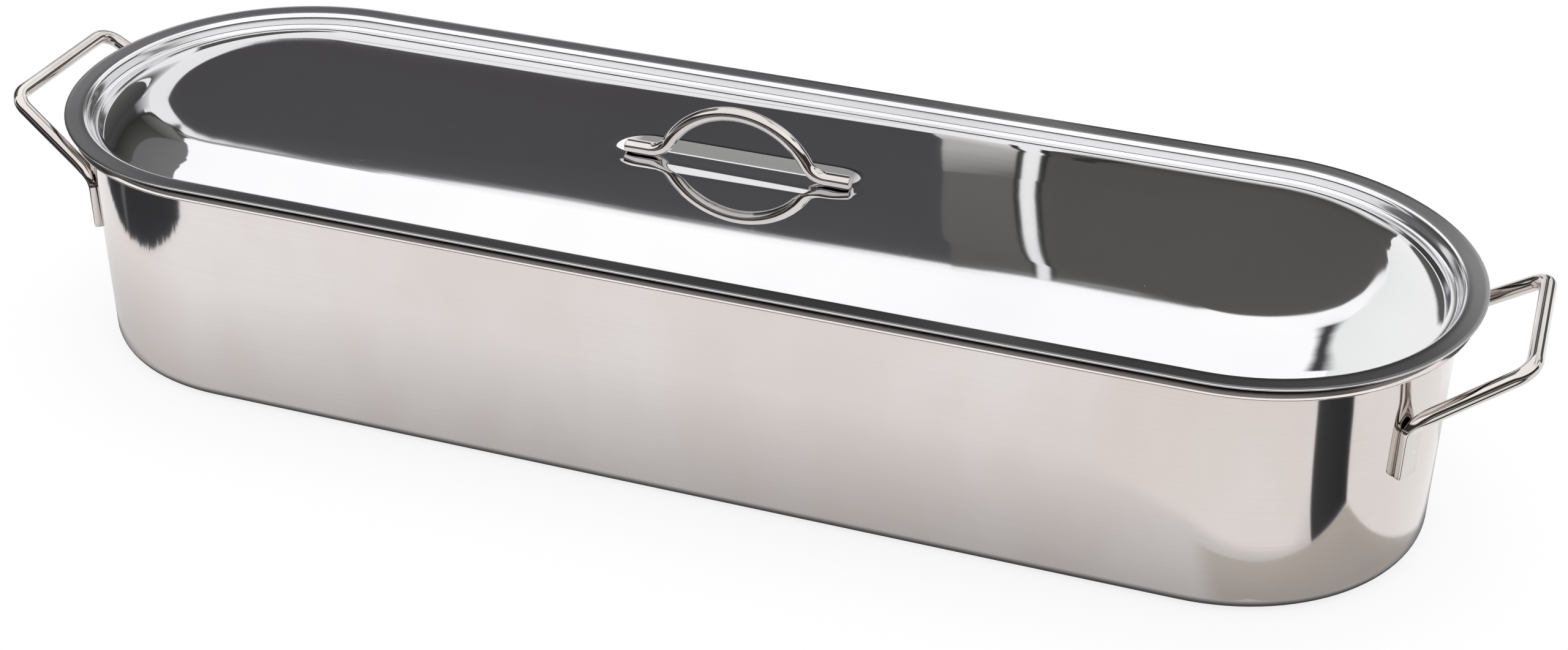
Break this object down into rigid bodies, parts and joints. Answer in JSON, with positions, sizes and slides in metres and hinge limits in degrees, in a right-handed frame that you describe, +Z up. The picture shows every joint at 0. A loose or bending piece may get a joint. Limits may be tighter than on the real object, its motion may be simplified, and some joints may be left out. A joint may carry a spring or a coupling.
{
  "type": "fish poacher",
  "caption": "Long obround pan with rolled rim and upright end handles, a crowned lid with an arched handle, and a perforated rack that lifts out.",
  "frame": {"origin": "centre of the pan's underside, where it stands", "axes": "+X along the pan's long side, +Y across it, +Z up"},
  "size_m": [0.646, 0.184, 0.1351],
  "materials": {
    "pan_steel": "polished stainless steel with fine lapping lines along the walls",
    "lid_steel": "mirror polished stainless steel",
    "wire_steel": "bright drawn stainless steel rod",
    "rack_steel": "satin stainless steel sheet"
  },
  "bodies": {
    "pan": {"pan_shell": "pan_steel", "end_handle_right": "wire_steel", "end_handle_left": "wire_steel"},
    "lid": {"lid_shell": "lid_steel", "lid_handle": "wire_steel"},
    "rack": {"rack_plate": "rack_steel", "rack_handle_right": "wire_steel", "rack_handle_left": "wire_steel", "rack_rivet_1": "rack_steel", "rack_rivet_2": "rack_steel", "rack_rivet_3": "rack_steel", "rack_rivet_4": "rack_steel"}
  },
  "joints": [
    {"name": "lid_lift", "type": "slide", "parent": "pan", "child": "lid", "axis": [0, 0, 1], "range_m": [0, 0.3]},
    {"name": "rack_lift", "type": "slide", "parent": "pan", "child": "rack", "axis": [0, 0, 1], "range_m": [0, 0.15]}
  ],
  "couplings": [
    {"joint": "rack_lift", "follows": "lid_lift", "ratio": 0.5}
  ]
}
